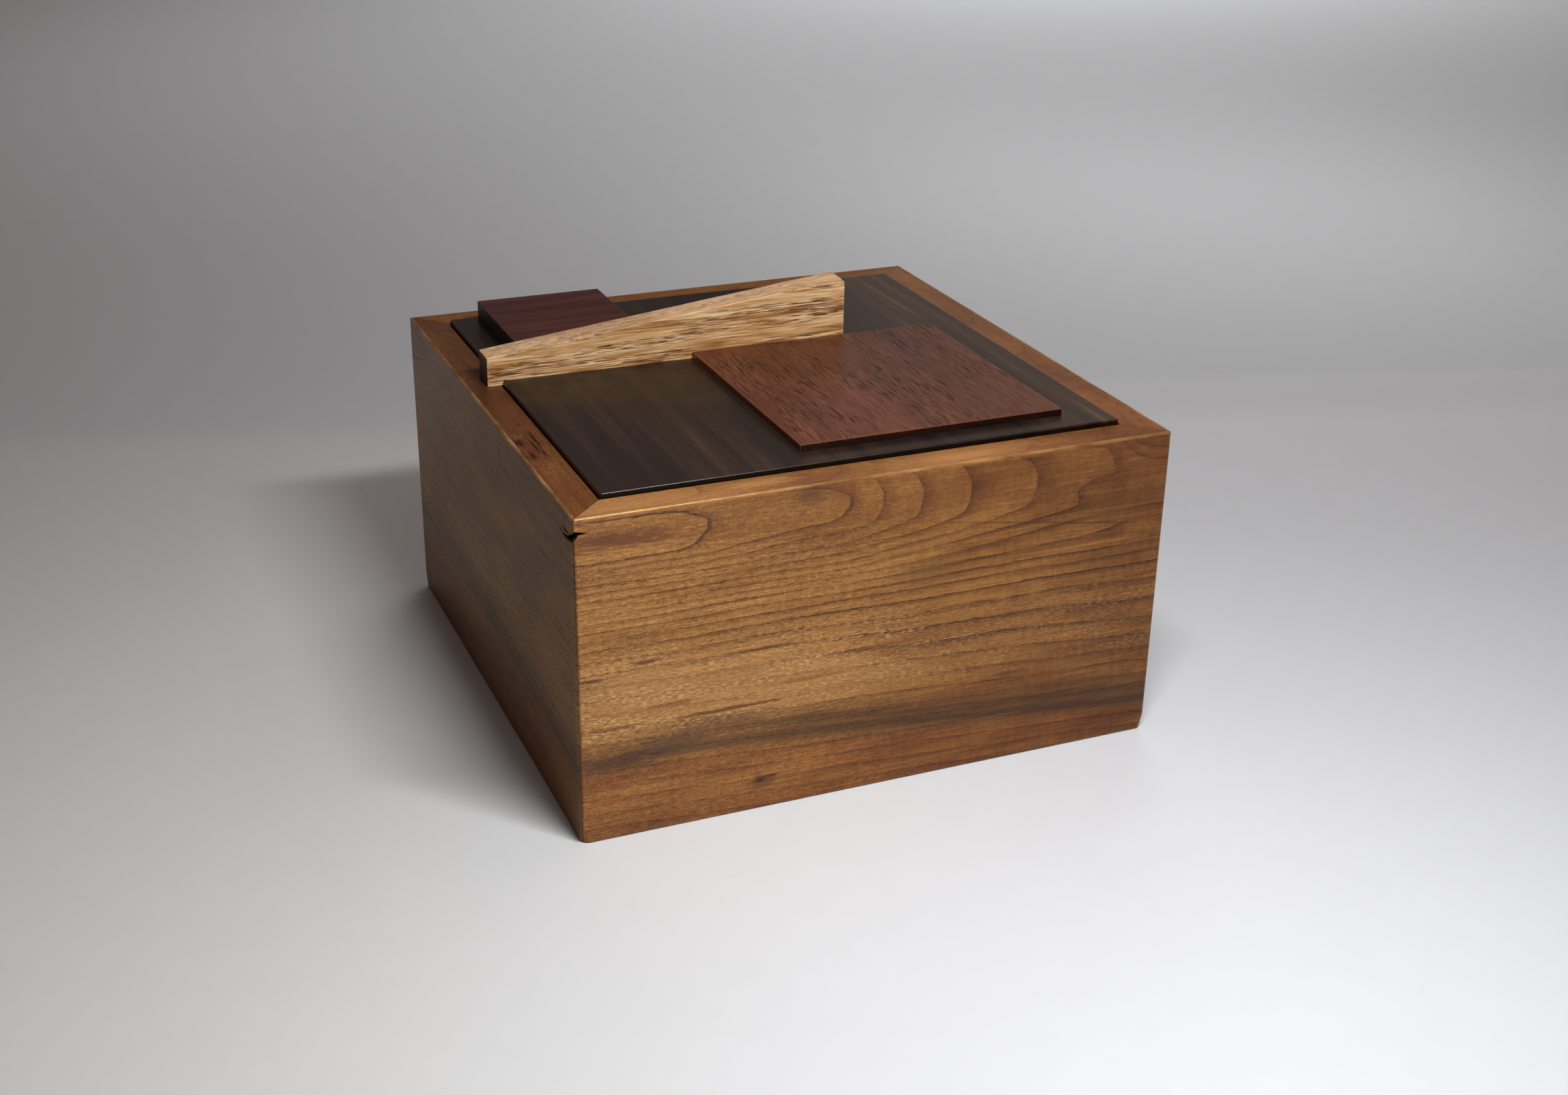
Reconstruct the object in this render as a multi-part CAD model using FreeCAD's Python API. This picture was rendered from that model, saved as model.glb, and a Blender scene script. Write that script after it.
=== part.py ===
import FreeCAD, Part
import math
import os

# Square walnut keepsake box with a drop-in lid.
#
# Four mitred walls, held at the corners by hidden loose tongues, stand round a bottom panel that is
# let into a groove. Four ledge strips inside the rim carry the lid, a dark panel that stands a little
# proud of the walls. A tapered handle bar is housed across the lid and reaches over the left rim, with
# a thin tile glued against its front face and a thicker block glued against its back face.
#
# Millimetres, +Z up. The origin is the middle of the box's underside. -Y is the front.

# Carcass
box_width = 203.0
box_depth = 203.0
box_height = 110.0
wall_thickness = 12.0
corner_ease = 0.9            # radius on the four upright outer corners
foot_corner_ease = 3.2       # the same at the foot, where sanding has rounded the corners more
foot_corner_rise = 6.0       # height at which the corners are back to corner_ease
foot_ease = 0.8              # radius on the foot's outer arris
rim_ease = 0.5               # radius on the rim's outer arris
rim_inner_ease = 0.4         # radius on the rim's inner arris

# Bottom panel in its groove
groove_rise = 6.0            # wood left under the groove
groove_depth = 5.0
bottom_thickness = 6.0
groove_slack = 0.1           # how much wider the groove is than the panel
bottom_play = 0.5            # room for the panel to swell, at each edge

# Loose tongues hidden in the mitres
tongue_thickness = 3.0
tongue_cover = 1.8           # wood left between a tongue and the wall's faces
tongue_stop = 12.0           # distance from the groove and from the rim to the tongue's ends
tongue_end_play = 0.4

# Bark flaw under the rim, at the front left corner. Each mouth is drawn on a wall's outer face, as
# (distance from the corner, depth below the rim).
flaw_depth = 2.4             # how far the bark grew into the wood
flaw_narrowing = 0.35        # size of the flaw's bottom against its mouth
flaw_reach = 0.3             # how far the cutting shape stands out of the face
FRONT_CRACK = [(-0.3, 3.8), (1.2, 3.9), (5.4, 4.8), (1.6, 5.2), (1.0, 6.4), (-0.3, 7.3)]
LEFT_CRACK = [(-0.3, 4.6), (2.6, 5.0), (4.6, 6.8), (9.8, 7.8), (15.0, 7.2), (9.8, 8.7), (4.8, 8.5),
              (-0.3, 7.5)]
LEFT_SLIVER = [(3.9, 5.7), (7.0, 5.5), (11.8, 5.2), (7.4, 6.5), (5.0, 6.4)]

# Ledge strips that carry the lid
ledge_width = 6.0
ledge_height = 9.0
ledge_round = 2.5            # radius under each strip's inner side
ledge_ease = 0.4

# Lid panel
lid_thickness = 8.0
lid_proud = 1.6              # how far the lid's top stands above the rim
lid_gap = 0.4                # running gap between the lid and each wall
lid_edge_round = 0.8
lid_foot_ease = 0.3

# Handle bar
bar_length = 132.4
bar_thickness = 10.5
bar_overlap = 4.9            # how far the bar reaches over the left rim
bar_rim_gap = 0.1            # gap between the bar's underside and that rim
bar_setback = 105.9          # from the lid's front edge to the bar's front face
bar_low_height = 10.0        # at the left end
bar_high_height = 24.6       # at the right end
bar_tip_round = 1.6          # radius on the tall end's top arris
bar_tip_drop = 1.4           # how far the tall end's front corner is planed away
bar_tip_run = 16.0           # how far along the bar that facet starts
bar_ease = 0.5

# Tile in front of the bar
tile_width = 93.5
tile_depth = 96.3
tile_thickness = 2.4
tile_offset = 68.6           # from the lid's left edge
tile_ease = 0.4

# Block behind the bar
block_width = 46.6
block_depth = 58.0
block_thickness = 7.2
block_offset = 9.6           # from the lid's left edge
block_ease = 0.4

# Wood screws that hold the bar from under the lid
screw_count = 2
screw_length = 17.0
screw_shank_radius = 1.4
screw_head_radius = 2.8
screw_head_depth = 1.7
screw_tip_length = 3.0
screw_slot_width = 0.7
screw_slot_depth = 0.7
screw_inset = 32.0           # from each end of the bar's housing to the nearest screw
screw_clearance = 0.1        # room round each screw in the wood

TOLERANCE = 1e-4

# Worked-out places
interior_width = box_width - 2 * wall_thickness
interior_depth = box_depth - 2 * wall_thickness
groove_top = groove_rise + bottom_thickness + groove_slack
lid_top = box_height + lid_proud
lid_foot = lid_top - lid_thickness
lid_width = interior_width - 2 * lid_gap
lid_depth = interior_depth - 2 * lid_gap
lid_left = -lid_width / 2
lid_front = -lid_depth / 2
bar_foot = box_height + bar_rim_gap
bar_left = -interior_width / 2 - bar_overlap
bar_right = bar_left + bar_length
bar_front = lid_front + bar_setback
bar_back = bar_front + bar_thickness


def vec(x, y, z):
    return FreeCAD.Vector(x, y, z)


def brick(low, high):
    """Rectangular block between two opposite corners."""
    size = high.sub(low)
    return Part.makeBox(size.x, size.y, size.z, low)


def is_level_at(edge, height):
    """True for an edge that lies flat at this height."""
    box = edge.BoundBox
    return abs(box.ZMin - height) < TOLERANCE and abs(box.ZMax - height) < TOLERANCE


def is_upright(edge):
    """True for a vertical edge."""
    box = edge.BoundBox
    return box.XLength < TOLERANCE and box.YLength < TOLERANCE


def eased(shape, radius, wanted):
    """Rounds every edge that the test picks."""
    return shape.makeFillet(radius, [edge for edge in shape.Edges if wanted(edge)])


def outline(points):
    """Closed plane face through these points."""
    return Part.Face(Part.makePolygon(points + points[:1]))


# --- Walls -------------------------------------------------------------------------------------

def carcass_envelope():
    """Outside of the finished box, with its corners and arrises eased. It trims the walls."""
    half = vec(box_width / 2, box_depth / 2, 0)
    rise = vec(0, 0, foot_corner_rise)
    upper = eased(brick(rise - half, half + vec(0, 0, box_height)), corner_ease, is_upright)
    lower = brick(half.negative(), half + rise)
    uprights = [edge for edge in lower.Edges if is_upright(edge)]
    # the radius shrinks from the foot upwards
    lower = lower.makeFillet(foot_corner_ease, corner_ease, uprights)
    body = lower.fuse(upper).removeSplitter()
    body = eased(body, foot_ease, lambda edge: is_level_at(edge, 0))
    return eased(body, rim_ease, lambda edge: is_level_at(edge, box_height))


def wall_section():
    """Upright section of a wall: outer face at y = 0, with the bottom groove cut in its inner face."""
    inner = wall_thickness
    cheek = inner - groove_depth
    points = [
        vec(0, 0, 0),
        vec(0, inner, 0),
        vec(0, inner, groove_rise),
        vec(0, cheek, groove_rise),
        vec(0, cheek, groove_top),
        vec(0, inner, groove_top),
        vec(0, inner, box_height),
        vec(0, 0, box_height),
    ]
    return outline(points)


def mitred_rail(length, reach, section, ease, ease_test):
    """A section run along X and mitred at 45 degrees at both ends.

    length is measured at y = 0, and reach is how far the rail comes inwards from there.
    """
    half = length / 2
    rail = section.copy()
    rail.translate(vec(-half, 0, 0))
    rail = eased(rail.extrude(vec(length, 0, 0)), ease, ease_test)
    box = rail.BoundBox
    plan = outline([
        vec(-half, 0, box.ZMin),
        vec(half, 0, box.ZMin),
        vec(half - reach, reach, box.ZMin),
        vec(reach - half, reach, box.ZMin),
    ])
    return rail.common(plan.extrude(vec(0, 0, box.ZLength)))


def around_box(make_rail):
    """Places a rail on each side of the box, as a dictionary of side to solid."""
    sides = {
        "front": (box_width, box_depth, 0),
        "right": (box_depth, box_width, 90),
        "rear": (box_width, box_depth, 180),
        "left": (box_depth, box_width, 270),
    }
    placed = {}
    for side, (length, across, turn) in sides.items():
        rail = make_rail(length)
        rail.translate(vec(0, -across / 2, 0))
        rail.rotate(vec(0, 0, 0), vec(0, 0, 1), turn)
        placed[side] = rail
    return placed


def blank_wall(length):
    """One mitred wall, before its corner slots are cut."""
    def is_rim_inner_arris(edge):
        at_inner_face = abs(edge.BoundBox.YMin - wall_thickness) < TOLERANCE
        return at_inner_face and is_level_at(edge, box_height)

    return mitred_rail(length, wall_thickness, wall_section(), rim_inner_ease, is_rim_inner_arris)


# --- Corner tongues ----------------------------------------------------------------------------

def tongue_blank(play):
    """A loose tongue that stands across a mitre, centred on the Z axis. play widens it into its slot."""
    across_wall = wall_thickness - 2 * tongue_cover
    half_width = (across_wall * math.sqrt(2) - tongue_thickness) / 2 + play
    half_thickness = tongue_thickness / 2
    low = groove_top + tongue_stop - play
    high = box_height - tongue_stop + play
    tongue = brick(vec(-half_width, -half_thickness, low), vec(half_width, half_thickness, high))
    return tongue


def tongue_at(corner_x, corner_y, play=0.0):
    """The tongue in one corner. corner_x and corner_y are +1 or -1."""
    tongue = tongue_blank(play)
    turn = -45 * corner_x * corner_y
    tongue.rotate(vec(0, 0, 0), vec(0, 0, 1), turn)
    inset = wall_thickness / 2
    tongue.translate(vec(corner_x * (box_width / 2 - inset), corner_y * (box_depth / 2 - inset), 0))
    return tongue


CORNERS = {
    "front_left": (-1, -1),
    "front_right": (1, -1),
    "rear_right": (1, 1),
    "rear_left": (-1, 1),
}


def flaw_ring(mouth, inwards, share, is_on_front):
    """A mouth's outline, drawn in towards its middle by share and set this far inside the wall's face."""
    middle_along = sum(along for along, below in mouth) / len(mouth)
    middle_below = sum(below for along, below in mouth) / len(mouth)
    ring = []
    for along, below in mouth:
        away = middle_along + (along - middle_along) * share
        height = box_height - middle_below - (below - middle_below) * share
        across, deep = (away, inwards) if is_on_front else (inwards, away)
        ring.append(vec(across - box_width / 2, deep - box_depth / 2, height))
    return Part.makePolygon(ring + ring[:1])


def bark_flaw():
    """The cavities that the bark left where it ran out through the corner."""
    cavities = []
    for mouth, is_on_front in ((FRONT_CRACK, True), (LEFT_CRACK, False), (LEFT_SLIVER, False)):
        outer = flaw_ring(mouth, -flaw_reach, 1.0, is_on_front)
        inner = flaw_ring(mouth, flaw_depth, flaw_narrowing, is_on_front)
        cavities.append(Part.makeLoft([outer, inner], True, True))
    return cavities


def walls():
    """The four finished walls."""
    envelope = carcass_envelope()
    slots = [tongue_at(x, y, tongue_end_play) for x, y in CORNERS.values()]
    finished = {}
    for side, blank in around_box(blank_wall).items():
        finished[side + "_wall"] = blank.common(envelope).cut(slots + bark_flaw())
    return finished


def tongues():
    """The four hidden corner tongues."""
    return {name + "_tongue": tongue_at(x, y) for name, (x, y) in CORNERS.items()}


# --- Bottom and ledges ---------------------------------------------------------------------------

def bottom_panel():
    """The loose panel that floats in the walls' groove."""
    reach = groove_depth - bottom_play
    half_x = interior_width / 2 + reach
    half_y = interior_depth / 2 + reach
    top = groove_rise + bottom_thickness
    return brick(vec(-half_x, -half_y, groove_rise), vec(half_x, half_y, top))


def ledge_section():
    """Upright section of a ledge strip, glued to the inner face of a wall."""
    inner = wall_thickness + ledge_width
    low = lid_foot - ledge_height
    round_off = min(ledge_round, ledge_width / 2, ledge_height / 2)
    arc_middle = round_off * (1 - math.sqrt(0.5))
    start = vec(0, inner - round_off, low)
    middle = vec(0, inner - arc_middle, low + arc_middle)
    end = vec(0, inner, low + round_off)
    edges = [
        Part.makeLine(vec(0, wall_thickness, low), start),
        Part.Arc(start, middle, end).toShape(),
        Part.makeLine(end, vec(0, inner, lid_foot)),
        Part.makeLine(vec(0, inner, lid_foot), vec(0, wall_thickness, lid_foot)),
        Part.makeLine(vec(0, wall_thickness, lid_foot), vec(0, wall_thickness, low)),
    ]
    return Part.Face(Part.Wire(edges))


def ledge_strip(length):
    """One mitred ledge strip."""
    reach = wall_thickness + ledge_width

    def is_ledge_arris(edge):
        at_inner_side = abs(edge.BoundBox.YMin - reach) < TOLERANCE
        return at_inner_side and is_level_at(edge, lid_foot)

    return mitred_rail(length, reach, ledge_section(), ledge_ease, is_ledge_arris)


def ledges():
    """The four ledge strips."""
    return {side + "_ledge": strip for side, strip in around_box(ledge_strip).items()}


# --- Lid -----------------------------------------------------------------------------------------

def screw_places():
    """Where the screws stand, evenly spaced along the part of the bar that lies on the lid."""
    middle = (bar_front + bar_back) / 2
    first = lid_left + screw_inset
    span = bar_right - screw_inset - first
    step = span / max(screw_count - 1, 1)
    return [vec(first + index * step, middle, lid_foot) for index in range(screw_count)]


def screw_blank(play=0.0):
    """Countersunk wood screw, head down at z = 0. play widens it into the hole that it goes in."""
    head = screw_head_radius + play
    shank = screw_shank_radius + play
    neck = screw_head_depth
    length = screw_length + play
    profile = outline([
        vec(0, 0, 0),
        vec(head, 0, 0),
        vec(shank, 0, neck),
        vec(shank, 0, length - screw_tip_length),
        vec(0, 0, length),
    ])
    return profile.revolve(vec(0, 0, 0), vec(0, 0, 1), 360)


def screw_holes():
    """The holes that the screws pass through, in the lid panel and in the bar."""
    holes = []
    for place in screw_places():
        hole = screw_blank(screw_clearance)
        hole.translate(place)
        holes.append(hole)
    return holes


def bar_screws():
    """The wood screws, each with a driving slot across its head."""
    screws = []
    for place in screw_places():
        slot_half = vec(screw_head_radius, screw_slot_width / 2, 0)
        slot = brick(slot_half.negative(), slot_half + vec(0, 0, screw_slot_depth))
        screw = screw_blank().cut(slot)
        screw.translate(place)
        screws.append(screw)
    return Part.makeCompound(screws)


def lid_panel():
    """The dark panel, with a rounded show edge, a housing for the bar and countersunk screw holes."""
    low = vec(lid_left, lid_front, lid_foot)
    panel = brick(low, low + vec(lid_width, lid_depth, lid_thickness))
    panel = eased(panel, lid_edge_round, lambda edge: is_upright(edge) or is_level_at(edge, lid_top))
    panel = eased(panel, lid_foot_ease, lambda edge: is_level_at(edge, lid_foot))
    housing = brick(vec(bar_left, bar_front, bar_foot), vec(bar_right, bar_back, lid_top + bar_rim_gap))
    return panel.cut([housing] + screw_holes())


def tip_facet():
    """What a plane takes off the front corner of the tall end: a thin wedge that runs out backwards."""
    slope = (bar_high_height - bar_low_height) / bar_length
    tip = bar_foot + bar_high_height
    start = vec(bar_right - bar_tip_run, bar_front, tip - slope * bar_tip_run)
    above = vec(0, 0, bar_tip_drop)
    corner = vec(bar_right, bar_front, tip)
    behind = vec(bar_right, bar_back, tip)
    low = corner - above
    faces = [
        outline([start, behind, low]),
        outline([start, low, corner + above]),
        outline([low, behind, corner + above]),
        outline([start, corner + above, behind]),
    ]
    return Part.Solid(Part.Shell(faces))


def handle_bar():
    """The tapered bar: a long wedge, low where it reaches over the left rim and tall at its right end."""
    side = outline([
        vec(bar_left, bar_front, bar_foot),
        vec(bar_right, bar_front, bar_foot),
        vec(bar_right, bar_front, bar_foot + bar_high_height),
        vec(bar_left, bar_front, bar_foot + bar_low_height),
    ])
    bar = side.extrude(vec(0, bar_thickness, 0))
    tip = bar_foot + bar_high_height
    bar = eased(bar, bar_tip_round, lambda edge: is_level_at(edge, tip))

    def is_upper_arris(edge):
        box = edge.BoundBox
        leaves_foot = box.ZMax > bar_foot + TOLERANCE
        runs_across = box.YLength > TOLERANCE
        is_low_end_top = runs_across and box.XMax < bar_left + TOLERANCE
        return leaves_foot and (not runs_across or is_low_end_top)

    bar = eased(bar, bar_ease, is_upper_arris)
    return bar.cut([tip_facet()] + screw_holes())


def glued_slab(low, size, ease):
    """A slab glued on the lid's top, with its upper and upright arrises eased."""
    slab = brick(low, low + size)
    top = low.z + size.z
    return eased(slab, ease, lambda edge: is_upright(edge) or is_level_at(edge, top))


def tile():
    """The thin reddish tile, its rear edge against the bar's front face."""
    low = vec(lid_left + tile_offset, bar_front - tile_depth, lid_top)
    return glued_slab(low, vec(tile_width, tile_depth, tile_thickness), tile_ease)


def block():
    """The thicker dark block, its front edge against the bar's back face."""
    low = vec(lid_left + block_offset, bar_back, lid_top)
    return glued_slab(low, vec(block_width, block_depth, block_thickness), block_ease)


def lid_pieces():
    """Everything that lifts off with the lid."""
    return {
        "lid_panel": lid_panel(),
        "handle_bar": handle_bar(),
        "lid_tile": tile(),
        "lid_block": block(),
        "bar_screws": bar_screws(),
    }


# --- Export --------------------------------------------------------------------------------------

def main():
    pieces = {**walls(), **tongues(), "bottom_panel": bottom_panel(), **ledges(), **lid_pieces()}
    os.makedirs("parts", exist_ok=True)
    for name, shape in pieces.items():
        shape.exportStep("parts/" + name + ".step")
        print(name, "solids", len(shape.Solids), "volume", round(shape.Volume, 1), shape.isValid())


main()
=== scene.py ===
# %% [markdown]
# # A walnut box with a lift-off lid
#
# The box is four mitred walnut walls round a loose bottom, with a dark lid that drops in from above. The
# lid carries a tapered oak bar to lift it by, a thin mahogany tile and a rosewood block. The shapes come
# packed and are only dressed here: each piece of wood gets its own figure, pores and finish.

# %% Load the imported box
import math

import bmesh
import bpy
from mathutils import Euler, Matrix, Vector


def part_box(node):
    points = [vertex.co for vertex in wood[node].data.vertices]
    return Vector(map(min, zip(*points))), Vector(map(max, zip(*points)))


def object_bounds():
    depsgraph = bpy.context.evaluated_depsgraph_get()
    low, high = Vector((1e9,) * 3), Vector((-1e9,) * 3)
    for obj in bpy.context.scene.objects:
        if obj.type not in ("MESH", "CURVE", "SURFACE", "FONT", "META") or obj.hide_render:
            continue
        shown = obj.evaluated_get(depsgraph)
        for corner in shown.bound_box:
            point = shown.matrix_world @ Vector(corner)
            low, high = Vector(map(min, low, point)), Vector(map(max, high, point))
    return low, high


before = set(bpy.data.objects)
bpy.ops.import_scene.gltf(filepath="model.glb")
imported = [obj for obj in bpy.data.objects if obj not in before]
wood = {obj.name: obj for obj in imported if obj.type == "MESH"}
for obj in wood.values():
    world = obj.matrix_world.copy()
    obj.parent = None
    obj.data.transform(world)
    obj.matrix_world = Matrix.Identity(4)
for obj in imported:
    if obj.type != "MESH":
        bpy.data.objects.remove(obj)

mm_per_metre = 1000
cad_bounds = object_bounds()
box_size = (cad_bounds[1] - cad_bounds[0]) * mm_per_metre
print("pieces:", ", ".join(sorted(wood)))
print("box in mm:", [round(side, 1) for side in box_size])

# %% [markdown]
# ## Camera
#
# The box stands with one corner towards the camera, which looks down on it from the left of the front. A
# normal lens at arm's length gives the perspective that an eye sees there. The place in metres and the turn
# in degrees are plain numbers, because they were measured once and nothing else depends on them.

# %% Set the camera
focal_length_mm = 45.547
sensor_width_mm = 36
camera_place = (-0.25219, -0.60636, 0.33879)
camera_turn = (65.7017, -0.8905, -22.8780)
lens_data = bpy.data.cameras.new("camera")
lens_data.lens = focal_length_mm
lens_data.sensor_width = sensor_width_mm
camera = bpy.data.objects.new("camera", lens_data)
camera.location = camera_place
camera.rotation_euler = [math.radians(angle) for angle in camera_turn]
bpy.context.scene.collection.objects.link(camera)
bpy.context.scene.camera = camera
print("camera is", round(camera.location.length * mm_per_metre), "mm from the middle of the box's foot")

# %% [markdown]
# ## Colours and nodes
#
# Wood colours are written as the hex values that a paint chart would give. Shaders work with linear light,
# so one function turns them. A second small function adds a node, sets it up and wires its inputs in one
# line, and a third joins several values by one operation, because products of three or four shares come up
# all the time.

# %% Make the helpers
def linear(hex_colour):
    """An sRGB hex colour as the linear red, green, blue and alpha that a shader wants."""
    parts = [int(hex_colour[i : i + 2], 16) / 255 for i in (1, 3, 5)]
    return [c / 12.92 if c <= 0.04045 else ((c + 0.055) / 1.055) ** 2.4 for c in parts] + [1.0]


def add(tree, kind, inputs=None, stops=None, points=None, **settings):
    """Adds a node. Inputs are values, sockets or nodes; stops fill a colour ramp and points a curve."""
    made = tree.nodes.new("ShaderNode" + kind)
    for name, value in settings.items():
        setattr(made, name, value)
    for socket, value in (inputs or {}).items():
        if isinstance(value, bpy.types.Node):
            value = next(out for out in value.outputs if out.enabled)
        if isinstance(value, bpy.types.NodeSocket):
            tree.links.new(value, made.inputs[socket])
        else:
            made.inputs[socket].default_value = value
    if stops:
        entries = made.color_ramp.elements
        while len(entries) < len(stops):
            entries.new(1.0)
        for entry, (place, colour) in zip(entries, stops):
            entry.position = place
            entry.color = linear(colour) if isinstance(colour, str) else [colour] * 3 + [1.0]
    if points:
        curve = made.mapping.curves[0]
        while len(curve.points) < len(points):
            curve.points.new(0.5, 0.5)
        for point, place in zip(curve.points, points):
            point.location = place
        made.mapping.update()
    return made


def chain(tree, operation, result, *others):
    """Joins values by one operation, from the first to the last."""
    for other in others:
        result = add(tree, "Math", {0: result, 1: other}, operation=operation)
    return result


print("walnut brown in linear light:", [round(c, 3) for c in linear("#8a5c34")[:3]])

# %% [markdown]
# ## A wood finish to start from
#
# Every board here is sanded and oiled, waxed or varnished, so every wood starts the same way: a clear film
# (index of refraction about 1.5) over a coloured, slightly rough body. What differs is how much film there
# is, and how far the grain was filled. Object coordinates are metres in the box's frame. A Mapping node
# turns them into the board's own millimetres: along the grain, across the board, and down into it.

# %% Start a material
film_index = 1.5


def new_material(name):
    """A material, its node tree and its shader."""
    material = bpy.data.materials.new(name)
    material.use_nodes = True
    tree = material.node_tree
    shader = next(n for n in tree.nodes if n.type == "BSDF_PRINCIPLED")
    return material, tree, shader


def new_wood(name, turn, place, coat, coat_roughness, specular):
    """A material, its tree, its shader, and a vector in the board's own millimetres."""
    material, tree, shader = new_material(name)
    shader.inputs["IOR"].default_value = film_index
    shader.inputs["Specular IOR Level"].default_value = specular
    shader.inputs["Coat Weight"].default_value = coat
    shader.inputs["Coat Roughness"].default_value = coat_roughness
    place_of = add(tree, "TexCoord").outputs["Object"]
    angles = [math.radians(a) for a in turn]
    scale = (mm_per_metre,) * 3
    board = add(tree, "Mapping", {"Vector": place_of, "Scale": scale, "Rotation": angles, "Location": place})
    return material, tree, shader, board


def wear_in(node_name, material):
    """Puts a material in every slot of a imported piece."""
    for slot in wood[node_name].material_slots:
        slot.material = material


front_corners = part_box("front_wall")
print("front wall corners:", [tuple(round(v * mm_per_metre, 1) for v in corner) for corner in front_corners])

# %% [markdown]
# ## Two patterns that every wood uses
#
# Nearly all that grows in wood is drawn out along the grain: fibres, pores, bands of colour. Noise whose
# coordinates are squeezed along the grain gives such strokes, and its two scales are real lengths in
# millimetres. Hands and cloths rub the arrises bright, so the second pattern is the distance to the nearest
# edge of a block: of the three distances to its faces, that is the middle one.

# %% Make the strokes and the edges
def drawn_out(tree, board, length, width, detail, seed=0.0):
    """Noise whose blots are length mm along the grain and width mm across it."""
    spot = add(tree, "VectorMath", {0: board, 1: (1 / length, 1 / width, 1 / width), 2: (seed, seed, seed)},
               operation="MULTIPLY_ADD")
    return add(tree, "TexNoise", {"Vector": spot, "Scale": 1.0, "Detail": detail, "Roughness": 0.55})


def strokes(tree, board, length, width, detail, seed, noise, values):
    """Drawn-out noise as a value: from noise[0] to noise[1], it runs from values[0] to values[1]."""
    blots = drawn_out(tree, board, length, width, detail, seed)
    return add(tree, "MapRange", {0: blots, 1: noise[0], 2: noise[1], 3: values[0], 4: values[1]})


def rubbed_edges(tree, low, high, width):
    """How worn a block is, 0 to 1, within width mm of its edges. Its two corners are in metres."""
    middle = (low + high) / 2
    half = (high - low) / 2
    place_of = add(tree, "TexCoord").outputs["Object"]
    off = add(tree, "VectorMath", {0: place_of, 1: middle}, operation="SUBTRACT")
    off = add(tree, "VectorMath", {0: off}, operation="ABSOLUTE")
    room = add(tree, "VectorMath", {0: half, 1: off}, operation="SUBTRACT")
    east, north, up = add(tree, "SeparateXYZ", {0: room}).outputs
    near = chain(tree, "MINIMUM", east, north)
    far = chain(tree, "MINIMUM", chain(tree, "MAXIMUM", east, north), up)
    edge = chain(tree, "MAXIMUM", near, far)
    uneven = add(tree, "TexNoise", {"Vector": place_of, "Scale": 260.0, "Detail": 3.0})
    edge = add(tree, "Math", {0: uneven, 1: -width / mm_per_metre, 2: edge}, operation="MULTIPLY_ADD")
    return add(tree, "MapRange", {0: edge, 1: 0.0, 2: width / mm_per_metre / 2, 3: 1, 4: 0})


print("strokes and edges are ready")

# %% [markdown]
# ## Walnut walls: the figure
#
# The front board is flat-sawn, so its growth rings come to the face as a row of cathedral tips near the rim
# and run out below into nearly level lines, 2.5 mm apart and wider lower down. A dark smoky streak crosses
# low down. The figure is one number, the ring count: a curve over the depth below the rim gives it for
# level lines, a second curve along the board adds the tips, and the two join as the sides of a right angle
# do. A third curve lowers the tips towards the right, and soft bulges lift the lines under a twig's swirl
# and hook the last tip. The walls are numbered along one strip, left wall, front, right and rear, so the
# streak and the lines walk round the corners.

# %% Measure the walnut's figure
carcass_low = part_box("front_wall")[0]
carcass_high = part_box("rear_wall")[1]
wall_width = round(box_size.x, 1)
wall_height = round(carcass_high.z * mm_per_metre, 1)
strip_start = -wall_width
strip_length = 4 * wall_width
ring_scale = 30.0
tip_scale = 10.0
# depth below the rim in mm, rings passed; where the tips are lowered, the count starts above the rim
highest_start = -12.0
ring_depths = [
    (-12, 7.5), (-4.5, 4.1), (-2, 2.6), (0, 1.3), (3.5, 0.75), (7, 0), (11, 0.45), (14.9, 1), (17.3, 2),
    (24.6, 5), (36, 9.5), (48, 13.2), (75, 19), (110, 26),
]
# mm along the strip, rings passed at the cathedral tips
ring_tips = [
    (-203, 0.4), (-120, 1.6), (-60, 0.6), (0, 0), (24, 0.15), (41.7, 1), (53, 1.45), (67, 1.6), (80, 1.72),
    (86, 1.88), (88.6, 2), (99.7, 3), (113.4, 4), (130.3, 5), (154, 6), (182.9, 7), (203, 7.85), (290, 2),
    (406, 0.5), (470, 3.4), (520, 5.1), (609, 1.2),
]
# mm along the strip, mm by which the tips are lowered
dip_scale = 14.0
ring_dips = [
    (-203, 0), (0, 0), (60, 0.3), (90, 1.4), (122, 1.4), (140, 2.1), (155, 2.6), (179, 3), (203, 10),
    (235, 4), (270, 0), (609, 0),
]
# how strong the line of each ring is, from the middle of the cathedral outwards
line_strengths = [
    0.1, 1.0, 0.4, 0.2, 0.17, 0.17, 0.14, 0.11, 0.11, 0.2, 0.28, 0.22, 0.28, 0.17, 0.25, 0.17, 0.25,
    0.16, 0.28, 0.22, 0.3, 0.17, 0.28, 0.23, 0.17, 0.28, 0.2, 0.25, 0.22, 0.17, 0.17,
]
# mm along the strip, depth of the smoky streak
streak_depths = [
    (-203, 73), (-100, 76), (0, 81.5), (37, 80.5), (60, 81.5), (110, 87), (160, 91.5), (203, 94.5),
    (300, 91), (406, 84), (500, 89), (609, 80),
]
# mm along the strip, how strong the streak is
streak_strengths = [
    (-203, 0.8), (-60, 0.85), (-4, 0.8), (0, 0.5), (30, 0.65), (95, 0.95), (203, 1.0), (406, 0.8), (609, 0.7),
]
# mm along the strip, how strong the rings show
ring_strengths = [(-203, 0.3), (-4, 0.35), (0, 0.9), (89, 1.15), (187, 1.0), (406, 0.75), (609, 0.7)]
# mm along the strip, how pale the wood is, a half being its middle tone: partly the wood's own tone,
# and, falling from the front's left end to its right, partly painted sheen where the left end catches the
# lamp
paleness_and_sheen = [
    (-203, 0.45), (-100, 0.48), (-5, 0.42), (0, 0.64), (60, 0.62), (120, 0.5), (203, 0.25), (300, 0.4),
    (406, 0.5), (500, 0.6), (609, 0.45),
]
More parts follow.
